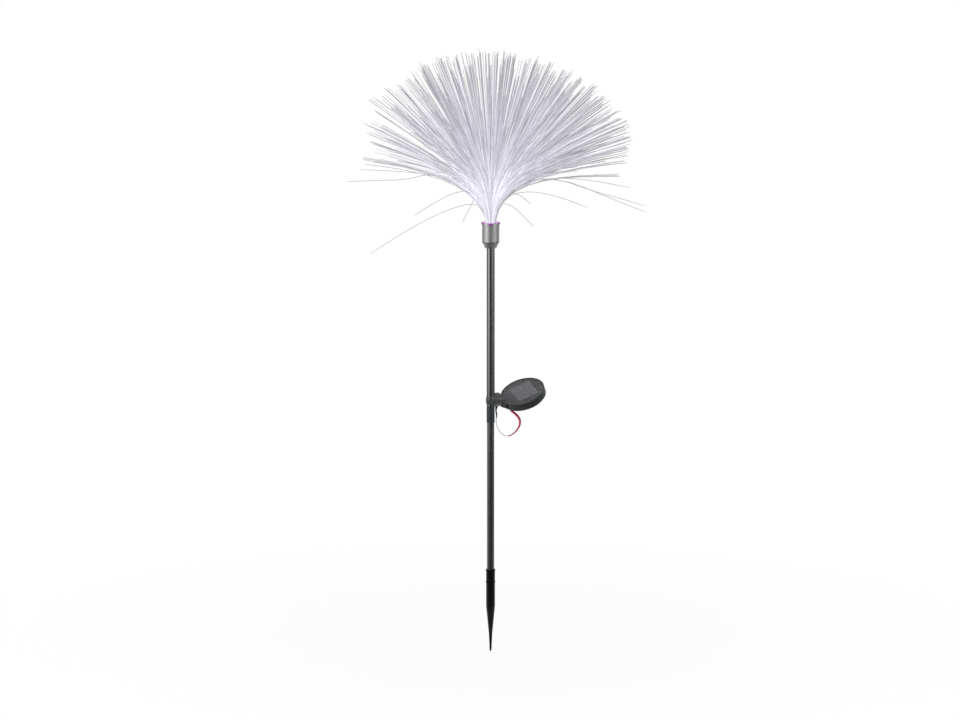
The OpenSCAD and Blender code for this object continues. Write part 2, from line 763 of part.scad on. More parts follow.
// Rubber boot where the lead goes into the yoke
module wire_boot() {
  plug_r = lead_bore / 2 - push_fit;
  color("#111213") at_neck() translate([boot_x, 0, 0]) rotate_extrude() polygon([
    [0, boot_z], [boot_d / 2 * boot_foot, boot_z], [boot_d / 2, block_z],
    [plug_r, block_z], [plug_r, block_z + boot_d / 2], [0, block_z + boot_d / 2]
  ]);
}

// Route of the lead from the panel's gland, down in a loop in front of the pole and up to the yoke's boot
gland_mouth = from_panel([panel_x - gland_back, -gland_side, back_z - gland_len - cord_gap]);
gland_out = from_panel([panel_x - gland_back, -gland_side, back_z - gland_len - lead_d - cord_gap]);
boot_mouth = from_neck([boot_x, 0, boot_z - cord_gap]);
boot_out = from_neck([boot_x, 0, boot_z - lead_d - cord_gap]);
lead_route = concat([gland_mouth, gland_out], [
  [29.2, 23, 226.6], [33, 22, 223.6], [36.9, 20.8, 219.6], [38.9, 19.5, 214.4], [38.1, 18.5, 208.4],
  [34.6, 17.7, 202.4], [29.6, 16.9, 197.7], [23.9, 16.2, 195.1], [18.4, 15.4, 196], [13.6, 14.5, 199.7],
  [9.8, 13.4, 205.4], [7.8, 12.3, 211.9], [7.4, 11.1, 218.3], [7.9, 9.8, 224.5]
], [boot_out, boot_mouth]);
lead_across = [-0.29, 0.95, 0];

// Free lead between the panel and the yoke
module solar_lead() {
  color("#b02a3a") cord(lead_route, lead_across, lead_d);
}

// Base of the panel's housing, with the hinge lug, standoffs and holes
module panel_base() {
  web_x = panel_reach + case_wall / 2;
  web_top = case_top - face_gap;
  tuck = lug_d / 2 * sqrt(0.5);
  color("#303335") difference() {
    union() {
      at_panel() rotate_extrude() polygon([
        [0, back_z], [case_r - foot_chamfer, back_z], [case_r, back_z + foot_chamfer], [case_r, case_top],
        [case_inner_r, case_top], [case_inner_r, floor_z], [0, floor_z]
      ]);
      at_hinge() rotate([90, 0, 0]) linear_extrude(lug_w, center = true) {
        circle(d = lug_d);
        polygon([
          [-tuck, -tuck], [web_x, back_z + floor_t], [web_x, web_top],
          [panel_reach - face_gap, web_top], [tuck, 0]
        ]);
      }
      at_panel() for (x = [-1, 1]) for (y = [-1, 1])
        translate([board_x + x * (board_w / 2 - standoff_inset), y * (board_l / 2 - standoff_inset), 0])
          rod_z(standoff_d, floor_z - joint, board_z);
    }
    at_hinge() rod_y(pin_d + 2 * turn_fit, -lug_w, lug_w);
    at_panel() {
      translate([board_x, 0, 0]) rod_z(button_d + 2 * face_gap, back_z - cut, floor_z + cut);
      translate([-gland_back, -gland_side, 0]) rod_z(2 * gland_bore_r, back_z - cut, floor_z + cut);
      for (a = post_angles)
        rotate([0, 0, a]) translate([post_at, 0, 0]) {
          rod_z(screw_d + 2 * slip_fit, back_z - cut, floor_z + cut);
          rod_z(screw_head_d + 2 * slip_fit, back_z - cut, back_z + screw_head_h);
        }
    }
  }
}

// Gasket between the base and the bezel
module panel_gasket() {
  color("#151515") at_panel() pipe(panel_d, case_wall, case_top, bezel_z);
}

// Bezel: a ring with a ledge for the tray, a guide inside the base and four screw posts
module panel_bezel() {
  guide_r = case_inner_r - slip_fit;
  color("#3a3d40") at_panel() difference() {
    union() {
      pipe(panel_d, case_r - window_r - slip_fit, bezel_z, face_z);
      pipe(panel_d, case_r - ledge_r_in, bezel_z, tray_z);
      pipe(2 * guide_r, guide_t, bezel_z - guide_h, bezel_z + ledge_t / 2);
      for (a = post_angles)
        rotate([0, 0, a]) translate([post_at, 0, 0]) rod_z(post_d, floor_z, bezel_z + ledge_t / 2);
    }
    for (a = post_angles)
      rotate([0, 0, a]) translate([post_at, 0, 0])
        rod_z(screw_d + 2 * push_fit, floor_z - cut, back_z + screw_head_h + screw_len + slip_fit);
  }
}

// Tray that backs the cell
module cell_tray() {
  color("#4b4f53") at_panel() rod_z(2 * window_r, tray_z, cell_z);
}

// Oblong solar cell
module solar_cell() {
  color("#5d6570") at_panel() translate([cell_far, 0, 0]) rotate([0, 0, cell_turn])
    translate([-cell_w / 2, -cell_l / 2, cell_z]) cube([cell_w, cell_l, cell_t]);
}

// Clear window over the cell
module cell_window() {
  pocket_w = cell_w + 2 * slip_fit;
  pocket_l = cell_l + 2 * slip_fit;
  color("#7d868c", 0.4) at_panel() difference() {
    rod_z(2 * window_r, cell_z, window_top);
    translate([cell_far, 0, 0]) rotate([0, 0, cell_turn])
      translate([-pocket_w / 2, -pocket_l / 2, cell_z - cut])
        cube([pocket_w, pocket_l, cell_t + push_fit + cut]);
  }
}

// Four screws that hold the base to the bezel's posts
module housing_screws() {
  head_top = back_z + screw_head_h;
  color("#8c8e90") at_panel() for (a = post_angles)
    rotate([0, 0, a]) translate([post_at, 0, 0]) difference() {
      union() {
        rod_z(screw_head_d, head_top - screw_head_h + slip_fit, head_top);
        rod_z(screw_d, head_top - joint, head_top + screw_len);
      }
      translate([-screw_head_d / 3, -recess_w / 2, back_z - cut])
        cube([screw_head_d * 2 / 3, recess_w, cut + slip_fit + screw_head_h / 2]);
    }
}

// Control board on the base's standoffs
module control_board() {
  color("#1f5a38") at_panel()
    translate([board_x - board_w / 2, -board_l / 2, board_z]) cube([board_w, board_l, board_t]);
}

// Holder that rings the battery on the floor of the base
module battery_holder() {
  color("#c9c4b4") at_panel() translate([battery_x, 0, 0])
    pipe(battery_d + 2 * holder_wall, holder_wall - slip_fit, floor_z, floor_z + holder_h);
}

// Flat rechargeable battery
module battery_cell() {
  color("#b8babc") at_panel() translate([battery_x, 0, 0]) rod_z(battery_d, floor_z, floor_z + battery_h);
}

// Push switch under the control board, with a bore for the button's stem
module switch_body() {
  stem_bore = stem_d + 2 * face_gap;
  color("#222426") at_panel() translate([board_x, 0, 0]) difference() {
    translate([-switch_side / 2, -switch_side / 2, switch_z]) cube([switch_side, switch_side, switch_h]);
    rod_z(stem_bore, switch_z - cut, stem_top + button_travel + push_fit);
  }
}

// Power button that is pressed in from below
module power_button() {
  color("#5a5d60") at_panel() translate([board_x, 0, 0]) {
    rod_z(button_d, back_z - button_proud, flange_z + joint);
    rod_z(button_d + 2 * button_flange, flange_z, flange_z + flange_t);
    rod_z(stem_d, flange_z, stem_top);
  }
}

// Rubber gland where the lead leaves the panel
module panel_gland() {
  plug_r = gland_bore_r - push_fit;
  gland_r = gland_d / 2;
  collar_z = back_z - gland_foot;
  color("#141516") at_panel() translate([-gland_back, -gland_side, 0]) rotate_extrude() polygon([
    [0, back_z - gland_len], [gland_r * boot_foot, back_z - gland_len], [gland_r, collar_z],
    [gland_r, back_z], [plug_r, back_z], [plug_r, floor_z], [0, floor_z]
  ]);
}

ground_spike();
lower_tube();
tube_coupler();
upper_tube();
lamp_lead();
cone_adapter();
cup_seal();
lamp_cup();
lamp_board();
led_emitter();
led_reflector();
fibre_ferrule();
glow_ring();
fibre_plume();
pole_clip();
neck_yoke();
hinge_screw();
hinge_nut();
wire_boot();
solar_lead();
panel_base();
panel_gasket();
panel_bezel();
cell_tray();
solar_cell();
cell_window();
housing_screws();
control_board();
battery_holder();
battery_cell();
switch_body();
power_button();
panel_gland();
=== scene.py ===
import json
import math
import random

import bmesh
import bpy
from bpy.props import FloatProperty, FloatVectorProperty, IntProperty, PointerProperty
from mathutils import Matrix, Vector, noise


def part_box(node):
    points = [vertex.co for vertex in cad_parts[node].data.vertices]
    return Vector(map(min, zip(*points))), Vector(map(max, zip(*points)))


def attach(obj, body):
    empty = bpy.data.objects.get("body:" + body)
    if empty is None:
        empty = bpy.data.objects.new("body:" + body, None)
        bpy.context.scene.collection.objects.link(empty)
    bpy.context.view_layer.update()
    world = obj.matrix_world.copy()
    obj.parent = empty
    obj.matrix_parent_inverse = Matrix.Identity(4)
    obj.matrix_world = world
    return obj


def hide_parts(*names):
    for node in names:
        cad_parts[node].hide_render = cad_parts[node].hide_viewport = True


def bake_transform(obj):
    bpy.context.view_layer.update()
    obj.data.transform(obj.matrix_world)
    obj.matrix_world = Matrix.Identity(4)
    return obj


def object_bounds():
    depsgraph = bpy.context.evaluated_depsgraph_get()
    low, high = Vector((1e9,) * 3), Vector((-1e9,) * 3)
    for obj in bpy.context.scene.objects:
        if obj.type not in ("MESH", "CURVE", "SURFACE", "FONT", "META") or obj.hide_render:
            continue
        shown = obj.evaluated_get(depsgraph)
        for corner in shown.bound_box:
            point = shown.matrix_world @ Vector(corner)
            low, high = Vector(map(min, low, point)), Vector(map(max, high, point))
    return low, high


bl_info = {
    "name": "Fibre Garden Light",
    "version": (1, 0, 0),
    "blender": (4, 5, 0),
    "location": "View3D > Sidebar > Garden Light",
    "description": "Dresses a solar fibre-optic garden light around its packed frame",
    "category": "Object",
}

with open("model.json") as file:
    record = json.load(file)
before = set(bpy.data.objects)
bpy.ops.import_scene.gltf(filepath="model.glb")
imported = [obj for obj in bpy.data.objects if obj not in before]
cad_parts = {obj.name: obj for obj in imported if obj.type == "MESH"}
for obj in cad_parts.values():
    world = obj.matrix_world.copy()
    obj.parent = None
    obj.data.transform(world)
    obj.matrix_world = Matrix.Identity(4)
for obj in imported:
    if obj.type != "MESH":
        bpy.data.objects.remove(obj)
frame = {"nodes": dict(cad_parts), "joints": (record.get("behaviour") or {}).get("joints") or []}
NODES = frame["nodes"]
CAD_LOW, CAD_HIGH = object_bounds()
MM = 0.001
GOLDEN_ANGLE = math.pi * (3 - math.sqrt(5))
VIEW_ELEVATION = math.radians(10)
PICTURE_WIDTH = 960


# Sizes taken from the frame
def node_middle(name):
    low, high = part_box(name)
    return (low + high) / 2


RIM_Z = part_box("lamp_cup")[1].z
PANEL_JOINT = next(j for j in frame["joints"] if j["name"] == "panel_tilt")
ROLL_JOINT = next(j for j in frame["joints"] if j["name"] == "neck_roll")
BUTTON_JOINT = next(j for j in frame["joints"] if j["name"] == "button_press")


def panel_axes():
    """The panel's own axes: towards its far edge, across it, and out of its face."""
    out = Vector(BUTTON_JOINT["axis"]).normalized()
    across = -Vector(PANEL_JOINT["axis"]).normalized()
    along = across.cross(out).normalized()
    return along, across, out


def panel_turn(extra):
    """The panel's turn and an extra one about its face as Euler angles, for a pattern that lies on it."""
    return (Matrix(panel_axes()).transposed() @ Matrix.Rotation(extra, 3, "Z")).to_euler()


# Kinds of settings
def size_setting(name, description, default):
    return FloatProperty(name=name, description=description, default=default, unit="LENGTH")


def angle_setting(name, description, default):
    return FloatProperty(name=name, description=description, default=default, subtype="ANGLE")


def share_setting(name, description, default, low, high):
    return FloatProperty(name=name, description=description, default=default, min=low, max=high)


def colour_setting(name, description, default):
    return FloatVectorProperty(name=name, description=description, default=default, subtype="COLOR")


# Settings that a user would change
class PlumeSettings(bpy.types.PropertyGroup):
    locks: IntProperty(name="Locks", description="Number of locks, each of two to four fibres",
                       default=330, min=100, max=600)
    length: size_setting("Length", "Length of a fibre", 0.232)
    thickness: size_setting("Thickness", "Thickness of a fibre", 0.00085)
    bend: size_setting("Bend", "Length over which a fibre bends outwards", 0.050)
    bundle: size_setting("Bundle", "Radius of the bundle at the rim", 0.0072)
    dome: angle_setting("Dome", "Lean of the fibres at the edge of the dome", math.radians(79))
    gather: share_setting("Gather", "How far locks draw together and leave gaps", 0.078, 0.0, 0.3)
    parting: angle_setting("Parting", "Lean of the open parting at the top", math.radians(-4))
    parted: angle_setting("Parting width", "Half the width of the parting", math.radians(1.3))
    thin: share_setting("Thin side", "Share of the locks that the low left side lacks", 0.6, 0.0, 1.0)
    spread: share_setting("Spread", "How much brighter or dimmer single fibres are", 0.24, 0.0, 0.6)
    short: share_setting("Short side", "Share by which the lowest fibres are shorter", 0.14, 0.0, 0.5)
    body: colour_setting("Fibre", "Colour of the fibres", (0.41, 0.41, 0.465))
    tip: colour_setting("Tip", "Colour of the fibres at their tips", (0.28, 0.275, 0.28))
    # The glow is painted light on the fibres, partly the lamp's own light at the root
    glow: colour_setting("Glow", "Light of the fibres near their root", (0.66, 0.655, 0.71))
    # The dull colour is painted shade at the dome's sides
    dull: colour_setting("Dull", "Colour of fibres that carry little light", (0.36, 0.355, 0.365))


class LeadSettings(bpy.types.PropertyGroup):
    wire: size_setting("Wire", "Thickness of the grey wire", 0.0014)
    sleeve: size_setting("Sleeve", "Thickness of the red sleeve at the panel", 0.0034)
    covered: share_setting("Covered", "Share of the wire that the red sleeve covers", 0.52, 0.1, 0.9)
    capped: share_setting("Capped", "Share of the wire under the black sleeve at the yoke", 0.13, 0.02, 0.3)
    red: colour_setting("Red", "Colour of the red sleeve", (0.48, 0.03, 0.085))
    grey: colour_setting("Grey", "Colour of the grey wire", (0.72, 0.71, 0.715))
    # The black sleeve is painted shade under the yoke
    black: colour_setting("Black", "Colour of the black sleeve", (0.012, 0.012, 0.013))


class FinishSettings(bpy.types.PropertyGroup):
    pole: colour_setting("Pole", "Lacquer of the pole", (0.19, 0.192, 0.195))
    steel: colour_setting("Steel", "Steel of the cup", (0.41, 0.406, 0.402))
    cone: colour_setting("Cone", "Lacquer of the cone", (0.34, 0.34, 0.342))
    spike: colour_setting("Spike", "Plastic of the spike", (0.0035, 0.0035, 0.004))
    case: colour_setting("Case", "Plastic of the panel and bracket", (0.021, 0.023, 0.024))
    cell: colour_setting("Cell", "Silicon of the solar cell", (0.205, 0.207, 0.213))
    cell_width: size_setting("Cell width", "Width of the pattern on the solar cell", 0.0296)
    cell_length: size_setting("Cell length", "Length of the pattern on the solar cell", 0.0350)
    cell_turn: angle_setting("Cell turn", "Turn of the cell on the panel", math.radians(-13))
    lamp: colour_setting("Lamp", "Colour of the light at the rim", (0.30, 0.01, 0.35))


class StageSettings(bpy.types.PropertyGroup):
    elevation: angle_setting("Elevation", "Height of the camera's view above level", VIEW_ELEVATION)
    distance: size_setting("Distance", "Distance of the camera", 8.0)
    scale: size_setting("Scale", "Size of one picture element at the pole", 0.00132)
    aside: size_setting("Aside", "The picture's middle, to the right of the pole", -0.01406)
    middle: size_setting("Middle", "Height of the picture's middle", 0.3002)


class LightSettings(bpy.types.PropertyGroup):
    plume: PointerProperty(type=PlumeSettings)
    lead: PointerProperty(type=LeadSettings)
    finish: PointerProperty(type=FinishSettings)
    stage: PointerProperty(type=StageSettings)


# Shader nodes written as expressions
class Value:
    """A socket that takes part in arithmetic by adding Math nodes."""

    def __init__(self, finish, socket):
        self.finish = finish
        self.socket = socket

    def _math(self, operation, first, second):
        return self.finish.node("ShaderNodeMath", {"operation": operation}, {0: first, 1: second})

    def __add__(self, other):
        return self._math("ADD", self, other)

    __radd__ = __add__

    def __sub__(self, other):
        return self._math("SUBTRACT", self, other)

    def __rsub__(self, other):
        return self._math("SUBTRACT", other, self)

    def __mul__(self, other):
        return self._math("MULTIPLY", self, other)

    __rmul__ = __mul__

    def __truediv__(self, other):
        return self._math("DIVIDE", self, other)

    def less(self, limit):
        return self._math("LESS_THAN", self, limit)

    def clamp(self):
        return self._math("MINIMUM", self._math("MAXIMUM", self, 0.0), 1.0)


class Finish:
    """One procedural material, or the world's, and the nodes that make it."""

    SOCKETS = {
        "color": "Base Color", "roughness": "Roughness", "metallic": "Metallic", "alpha": "Alpha",
        "specular": "Specular IOR Level", "coat": "Coat Weight", "coat_roughness": "Coat Roughness",
        "emission": "Emission Color", "emission_strength": "Emission Strength", "normal": "Normal",
    }
    MIX_FIRST, MIX_SECOND, MIX_RESULT = 6, 7, 2

    def __init__(self, name, owner=None):
        self.material = owner or bpy.data.materials.new(name)
        self.material.use_nodes = True
        self.tree = self.material.node_tree
        self.shader = next(n for n in self.tree.nodes if n.type in {"BSDF_PRINCIPLED", "BACKGROUND"})

    def node(self, kind, settings=None, inputs=None, output=0):
        made = self.tree.nodes.new(kind)
        for key, value in (settings or {}).items():
            if key == "stops":
                self._stops(made.color_ramp, value)
            else:
                setattr(made, key, value)
        for key, value in (inputs or {}).items():
            self._feed(made.inputs[key], value)
        return Value(self, made.outputs[output])

    def _feed(self, socket, value):
        if isinstance(value, Value):
            self.tree.links.new(value.socket, socket)
        elif hasattr(value, "__len__") and len(value) == 3 and socket.type == "RGBA":
            socket.default_value = (*value, 1.0)
        else:
            socket.default_value = value

    @staticmethod
    def _stops(ramp, stops):
        while len(ramp.elements) > 1:
            ramp.elements.remove(ramp.elements[-1])
        ramp.elements[0].position, ramp.elements[0].color = stops[0][0], (*stops[0][1], 1.0)
        for place, colour in stops[1:]:
            ramp.elements.new(place).color = (*colour, 1.0)

    def set(self, **sockets):
        for key, value in sockets.items():
            self._feed(self.shader.inputs[self.SOCKETS[key]], value)

    def place(self, middle=(0, 0, 0), turn=(0, 0, 0), scale=(1, 1, 1)):
        """Object coordinates seen from a point, turn and scale of the piece's own."""
        spot = self.node("ShaderNodeTexCoord", output="Object")
        return self.node("ShaderNodeMapping", {"vector_type": "TEXTURE"},
                         {"Vector": spot, "Location": middle, "Rotation": turn, "Scale": scale})

    def outputs(self, kind, inputs=None):
        """All the outputs of a node, by name."""
        made = self.node(kind, inputs=inputs).socket.node
        return {s.name: Value(self, s) for s in made.outputs}

    def axes(self, vector):
        return list(self.outputs("ShaderNodeSeparateXYZ", {0: vector}).values())

    def sight(self):
        """Whether the camera sees the surface, and whether a reflection does."""
        ray = self.outputs("ShaderNodeLightPath")
        return (ray["Is Camera Ray"] + ray["Is Transmission Ray"]).clamp(), ray["Is Glossy Ray"]

    def noise(self, vector, scale, detail=3.0, rough=0.55):
        return self.node("ShaderNodeTexNoise", None,
                         {"Vector": vector, "Scale": scale, "Detail": detail, "Roughness": rough})

    def length(self, vector):
        return self.node("ShaderNodeVectorMath", {"operation": "LENGTH"}, {0: vector}, "Value")

    def direction(self, vector):
        return self.node("ShaderNodeVectorMath", {"operation": "NORMALIZE"}, {0: vector}, "Vector")

    def mix(self, share, first, second):
        return self.node("ShaderNodeMix", {"data_type": "RGBA"},
                         {0: share, self.MIX_FIRST: first, self.MIX_SECOND: second}, self.MIX_RESULT)

    def mottle(self, share, colour, dark, light):
        """A colour between a darker and a lighter shade of itself."""
        return self.mix(share, shade(colour, dark), shade(colour, light))

    def vary(self, value, middle, swing):
        """A number that a value from 0 to 1 moves by up to a swing to either side of its middle."""
        return (middle - swing) + 2 * swing * value

    def stripes(self, value, pitch, share):
        """Lines at every pitch along a value, each a share of the pitch wide."""
        wave = self.node("ShaderNodeMath", {"operation": "PINGPONG"}, {0: value, 1: pitch / 2})
        return wave.less(pitch / 2 * share)

    def ramp(self, value, stops):
        return self.node("ShaderNodeValToRGB", {"stops": stops}, {0: value})

    def bump(self, height, strength, depth):
        return self.node("ShaderNodeBump", None, {"Height": height, "Strength": strength, "Distance": depth})


# Colours of details and of the pieces that hardly show
BOARD_GREEN = (0.012, 0.075, 0.035)
TRACK_GREEN = (0.03, 0.16, 0.07)
CELL_LINES = (0.34, 0.35, 0.36)
FIBRE_SHADOW = (0.05, 0.05, 0.06)
# Faint painted light of the dull fibres
DULL_PAINTED_LIGHT = ((0.05, 0.05, 0.055), (0.11, 0.11, 0.12))
# Slate of the coupler, partly painted reflection of the panel on the pole
COUPLER_SLATE_REFLECTION = (0.027, 0.031, 0.036)
LAMP_LEAD_RED = (0.35, 0.03, 0.035)
SEAL_BLACK = (0.012, 0.012, 0.012)
LENS_WHITE = (0.85, 0.83, 1.0)
REFLECTOR_WHITE = (0.82, 0.82, 0.82)
FERRULE_BLACK = (0.02, 0.02, 0.022)
TRAY_GREY = (0.118, 0.12, 0.126)
WINDOW_TINT = (0.12, 0.125, 0.13)
SCREW_STEEL = (0.5, 0.5, 0.51)
HINGE_STEEL = (0.10, 0.102, 0.106)
BOOT_BLACK = (0.010, 0.010, 0.011)
HOLDER_CREAM = (0.60, 0.57, 0.48)
BATTERY_METAL = (0.55, 0.55, 0.56)
BUTTON_GREY = (0.09, 0.095, 0.10)
FLOOR_PALE = ((0.90, 0.90, 0.90), (0.94, 0.94, 0.94))

# How the fibres' colour and painted light change from root to tip, brightest at the root where it is partly
# the lamp's own glow: share of the length, and factor there
BODY_FADE = ((0.0, 1.2), (0.3, 1.0), (0.8, 0.95))
GLOW_FADE = ((0.0, 1.2), (0.025, 1.1), (0.045, 0.87), (0.14, 0.92), (0.25, 0.96), (0.45, 0.66), (0.75, 0.49),
             (1.0, 0.22))


def shade(colour, factor):
    return tuple(min(1.0, c * factor) for c in colour)


def moulded(name, colour, roughness=0.5, grain=900.0, relief=0.00004, gloss=0.5):
    """Moulded plastic: fine grain, faint cloudiness and slightly uneven gloss."""
    f = Finish(name)
    spot = f.place()
    cloud = f.noise(spot, scale=38.0, detail=2.0)
    uneven = f.noise(spot, scale=120.0)
    fine = f.noise(spot, scale=grain, detail=2.0)
    f.set(color=f.mottle(cloud, colour, 0.82, 1.22), roughness=f.vary(uneven, roughness, 0.1),
          specular=gloss, normal=f.bump(fine, strength=0.35, depth=relief))
    return f.material


def lacquered(name, colour, roughness, metallic, streak=True):
    """Lacquered metal: streaks drawn along a tube, or faint blotches alone, under a clear coat."""
    f = Finish(name)
    drawn = f.noise(f.place(scale=(1.0, 1.0, 60.0)), scale=1500.0)
    blotch = f.noise(f.place(), scale=60.0, detail=4.0)
    tone = drawn * 0.4 + blotch * 0.3 + 0.15 if streak else blotch
    f.set(color=f.mottle(tone, colour, 0.75, 1.3), roughness=f.vary(blotch, roughness, 0.05),
          metallic=metallic, coat=0.3, coat_roughness=0.2,
          normal=f.bump(drawn, strength=0.02, depth=0.000004))
    return f.material


def brushed(name, colour, roughness, line_scale=(1.0, 1.0, 1.0), metallic=1.0):
    """Satin metal with fine lines, which a small scale along one axis draws across that axis."""
    f = Finish(name)
    lines = f.noise(f.place(scale=line_scale), scale=90.0)
    cloud = f.noise(f.place(), scale=70.0, detail=2.0)
    f.set(color=f.mottle(lines, colour, 0.8, 1.2), roughness=f.vary(cloud, roughness, 0.06),
          metallic=metallic, normal=f.bump(lines, strength=0.15, depth=0.00003))
    return f.material


def rubbery(name, colour, roughness=0.6):
    """Rubber with a dull, slightly blotched surface."""
    f = Finish(name)
    spot = f.place()
    blotch = f.noise(spot, scale=160.0)
    fine = f.noise(spot, scale=1200.0, detail=2.0)
    f.set(color=f.mottle(blotch, colour, 0.75, 1.3), roughness=f.vary(blotch, roughness, 0.08),
          normal=f.bump(fine, strength=0.3, depth=0.00003))
    return f.material


def glowing(name, colour, strength, own=1.0):
    """Clear plastic lit from behind, brighter in patches, with a share of the light's colour as its own."""
    f = Finish(name)
    patch = f.noise(f.place(), scale=260.0, detail=2.0)
    f.set(color=f.mottle(patch, colour, 0.8 * own, 1.2 * own), roughness=0.25, specular=0.3,
          emission=f.mottle(patch, colour, 0.7, 1.3), emission_strength=strength)
    return f.material


def circuit_board(name):
    """Circuit board with copper tracks under green lacquer."""
    f = Finish(name)
    spot = f.place()
    track = f.noise(spot, scale=420.0, detail=0.0).less(0.47)
    uneven = f.noise(spot, scale=300.0)
    f.set(color=f.mix(track, BOARD_GREEN, TRACK_GREEN), roughness=f.vary(uneven, 0.45, 0.1),
          normal=f.bump(track, strength=0.3, depth=0.00004))
    return f.material


def cell_face(name, colour, middle, turn, width, length):
    """Solar cell: silicon with ten thin fingers and three wider bars on its own axes."""
    f = Finish(name)
    spot = f.place(middle=middle, turn=turn)
    x, y, _ = f.axes(spot)
    fingers = f.stripes(x + width / 2, pitch=width / 10, share=0.10)
    bars = f.stripes(y + length / 2, pitch=length / 3, share=0.06)
    lines = (fingers + bars).clamp()
    grain = f.noise(spot, scale=240.0)
    silicon = f.mottle(grain, colour, 0.85, 1.2)
    f.set(color=f.mix(lines * 0.45, silicon, CELL_LINES), roughness=f.vary(grain, 0.375, 0.075),
          normal=f.bump(lines, strength=0.2, depth=0.00003))
    return f.material


def cast_window(name, colour):
    """Clear cast resin over the cell, with faint ripples."""
    f = Finish(name)
    ripple = f.noise(f.place(), scale=55.0, detail=2.0)
    f.set(color=colour, roughness=f.vary(ripple, 0.23, 0.07), alpha=0.22,
          normal=f.bump(ripple, strength=0.08, depth=0.0002))
    return f.material


def fibre_painted_light(name, settings, root, level):
    """Fibres of one brightness: white painted light at the root, partly the lamp's own glow, that fades to
    lavender, grey tips and streaks of painted shade.
    """
    f = Finish(name)
    colour, glow = shade(settings.body, level), shade(settings.glow, level)
    spot = f.place(middle=root)
    far = (f.length(spot) / settings.length).clamp()
    streak = f.noise(f.direction(spot), scale=46.0, detail=2.0, rough=0.6)
    fine = f.noise(f.direction(spot), scale=210.0, detail=1.0)
    tone = ((streak - 0.5) * 2.6 + (fine - 0.5) * 1.2 + 0.5).clamp()
    body = f.ramp(far, [*((at, shade(colour, k)) for at, k in BODY_FADE), (1.0, settings.tip)])
    light = f.ramp(far, [(at, shade(glow, k)) for at, k in GLOW_FADE])
    # Colour and emission brighten towards the root as painted light, which also makes up for the shade inside
    # the dense bundle
    f.set(color=f.mix(tone, shade(colour, 0.65), body), roughness=f.vary(fine, 0.375, 0.075),
          emission=f.mix(tone, f.mix(0.34, light, FIBRE_SHADOW), light), emission_strength=1.0)
    return f.material


def dull_and_shaded_fibre(name, colour):
    """Dull fibres of clear polymer with faint flecks and a faint painted glow; where they stand at the dome's
    sides, their dull colour is painted shade.
    """
    f = Finish(name)
    fleck = f.noise(f.place(), scale=180.0, detail=2.0)
    f.set(color=f.mottle(fleck, colour, 0.8, 1.25), roughness=f.vary(fleck, 0.38, 0.1),
          emission=f.mix(fleck, *DULL_PAINTED_LIGHT), emission_strength=1.0)
    return f.material


def insulation(name, colour):
    """Wire insulation with a soft sheen and a fine grain."""
    f = Finish(name)
    spot = f.place()
    cloud = f.noise(spot, scale=300.0, detail=2.0)
    fine = f.noise(spot, scale=1800.0, detail=2.0)
    f.set(color=f.mottle(cloud, colour, 0.8, 1.15), roughness=f.vary(cloud, 0.32, 0.08),
          normal=f.bump(fine, strength=0.15, depth=0.00002))
    return f.material


def pale_floor(name):
    """Floor that the camera sees as white, faintly shaded at the foot, and a reflection as dark in front."""
    f = Finish(name)
    spot = f.place()
    f.set(color=f.mix(f.noise(spot, scale=0.4, detail=1.0), *FLOOR_PALE), roughness=0.9, specular=0.0)
    seen, gloss = f.sight()
    aside, back, _ = f.axes(spot)
    behind = (back * 4.0 + 0.9).clamp() * (0.8 - ((aside * aside) * 4.0).clamp() * 0.4) + 0.03
    near = (1.53 - f.length(spot) * 2.0).clamp()
    lit = (seen * (1 - near * 0.14) + gloss).clamp()
    white = f.node("ShaderNodeEmission", None,
                   {"Color": (1.0, 1.0, 1.0), "Strength": seen + (1 - seen) * behind})
    both = f.node("ShaderNodeMixShader", None, {0: lit, 1: Value(f, f.shader.outputs[0]), 2: white})
    out = next(n for n in f.tree.nodes if n.type == "OUTPUT_MATERIAL")
    f.tree.links.new(both.socket, out.inputs[0])
    return f.material


def studio_light(world):
    """World that the camera sees as white, and a reflection as dark in front and pale behind."""
    f = Finish("studio", world)
    f.shader.inputs["Color"].default_value = (1, 1, 1, 1)
    aside, back, _ = f.axes(f.node("ShaderNodeTexCoord", output="Generated"))
    behind = (back * 1.4 + 0.8).clamp() * (0.8 - (aside * aside) * 0.6) + 0.03
    seen, gloss = f.sight()
    level = seen + (1 - seen) * (gloss * behind + (1 - gloss) * 0.5)
    f.tree.links.new(level.socket, f.shader.inputs["Strength"])


def dress(material, *names):
    """Gives CAD nodes a finish."""
    for name in names:
        NODES[name].data.materials.clear()
        NODES[name].data.materials.append(material)


# Curves turned into tubes
def tube_mesh(name, lines, slots, roundness=0):
    """A mesh of tubes along lines, each a list of (point, radius), with a material slot for each line."""
    curve = bpy.data.curves.new(name, "CURVE")
    for _ in range(max(slots) + 1):
        curve.materials.append(None)
    curve.dimensions = "3D"
    curve.bevel_depth = 1.0
    curve.bevel_resolution = roundness
    curve.use_fill_caps = True
    for line, slot in zip(lines, slots):
        spline = curve.splines.new("POLY")
        spline.material_index = slot
        spline.points.add(len(line) - 1)
        for spot, (place, radius) in zip(spline.points, line):
            spot.co = (*place, 1.0)
            spot.radius = radius
    holder = bpy.data.objects.new(name, curve)
    bpy.context.scene.collection.objects.link(holder)
    graph = bpy.context.evaluated_depsgraph_get()
    mesh = bpy.data.meshes.new_from_object(holder.evaluated_get(graph))
    bpy.data.objects.remove(holder)
    bpy.data.curves.remove(curve)
    mesh.name = name
    mesh.polygons.foreach_set("use_smooth", [True] * len(mesh.polygons))
    return mesh


def add_piece(name, mesh, *materials):
    for slot, material in enumerate(materials):
        mesh.materials[slot] = material
    piece = bpy.data.objects.new(name, mesh)
    bpy.context.scene.collection.objects.link(piece)
    return piece


CURVE_STEPS = 12


